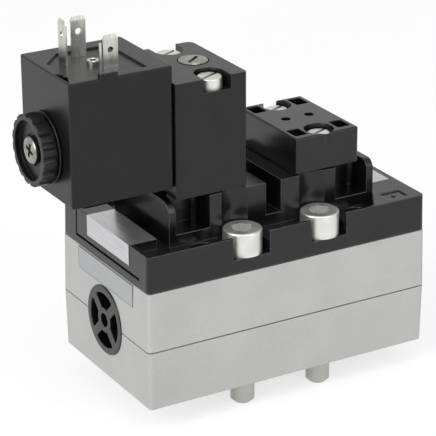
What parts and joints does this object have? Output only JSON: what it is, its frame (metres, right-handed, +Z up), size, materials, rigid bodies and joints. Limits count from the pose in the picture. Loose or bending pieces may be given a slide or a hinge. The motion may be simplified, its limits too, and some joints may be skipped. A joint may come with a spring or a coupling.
{
  "type": "directional control valve",
  "caption": "Spool valve for compressed air: cast body with black cover, solenoid pilot with contact blades, manual override, blanked second pad and long mounting screws.",
  "frame": {"origin": "centre of the mounting face of the lower casting, in the middle of the mounting screw pattern", "axes": "+X along the spool from the solenoid end to the blanked end, -Y towards the front, +Z up, away from the mounting face"},
  "size_m": [0.1612, 0.074, 0.1622],
  "materials": {
    "cast_aluminium": "fine blasted die casting",
    "cover_plastic": "black moulding, satin",
    "pilot_plastic": "black moulding, satin",
    "coil_plastic": "black overmoulding, fine grain",
    "zinc_plated_steel": "bright zinc plating",
    "tube_steel": "turned stainless steel",
    "spring_steel": "drawn wire",
    "magnet_steel": "sheet steel",
    "contact_tin": "tinned brass sheet",
    "insert_brass": "turned, plated",
    "winding_copper": "enamelled wire under tape",
    "seal_rubber": "moulded nitrile",
    "spool_aluminium": "hard anodised",
    "sleeve_aluminium": "turned",
    "override_metal": "turned, worn",
    "label_film": "bare film"
  },
  "bodies": {
    "valve_base": {"lower_body": "cast_aluminium", "upper_body": "cast_aluminium", "body_gasket": "seal_rubber", "cover_gasket": "seal_rubber", "base_gasket": "seal_rubber", "top_cover": "cover_plastic", "cover_screws": "zinc_plated_steel", "mounting_screws": "zinc_plated_steel", "end_plug_left": "cast_aluminium", "end_plug_right": "cast_aluminium", "plug_seals": "seal_rubber", "valve_sleeve": "sleeve_aluminium", "inner_seals": "seal_rubber", "outer_seals": "seal_rubber", "return_spring": "spring_steel", "pilot_gasket": "seal_rubber", "blank_gasket": "seal_rubber", "pilot_body": "pilot_plastic", "pilot_screws": "zinc_plated_steel", "valve_seat": "insert_brass", "armature_tube": "tube_steel", "fixed_core": "tube_steel", "armature_spring": "spring_steel", "magnet_yoke": "magnet_steel", "coil_winding": "winding_copper", "coil_body": "coil_plastic", "front_blade": "contact_tin", "rear_blade": "contact_tin", "earth_blade": "contact_tin", "thread_insert": "insert_brass", "nut_seal": "seal_rubber", "blanking_plate": "pilot_plastic", "blank_screws": "zinc_plated_steel", "folded_label": "label_film", "cover_label": "label_film", "body_label": "label_film"},
    "spool_group": {"spool": "spool_aluminium", "pilot_piston": "spool_aluminium", "piston_seal": "seal_rubber"},
    "armature_group": {"armature": "tube_steel", "push_pin": "tube_steel"},
    "override_group": {"manual_override": "override_metal", "override_seal": "seal_rubber"},
    "nut_group": {"coil_nut": "coil_plastic"}
  },
  "joints": [
    {"name": "spool_shift", "type": "slide", "parent": "valve_base", "child": "spool_group", "axis": [1, 0, 0], "range_m": [0, 0.005], "stiffness_N_per_m": 5000, "springref_m": -0.002, "deforming": ["return_spring"]},
    {"name": "armature_lift", "type": "slide", "parent": "valve_base", "child": "armature_group", "axis": [-1, 0, 0], "range_m": [0, 0.001], "stiffness_N_per_m": 4000, "springref_m": -0.0005, "deforming": ["armature_spring"]},
    {"name": "override_turn", "type": "hinge", "parent": "valve_base", "child": "override_group", "pos_m": [-0.0233, 0, 0.1275], "axis": [0, 0, 1], "range_deg": [0, 90]},
    {"name": "nut_turn", "type": "hinge", "parent": "valve_base", "child": "nut_group", "pos_m": [-0.092, 0, 0.1036], "axis": [1, 0, 0], "range_deg": [0, 90]}
  ]
}
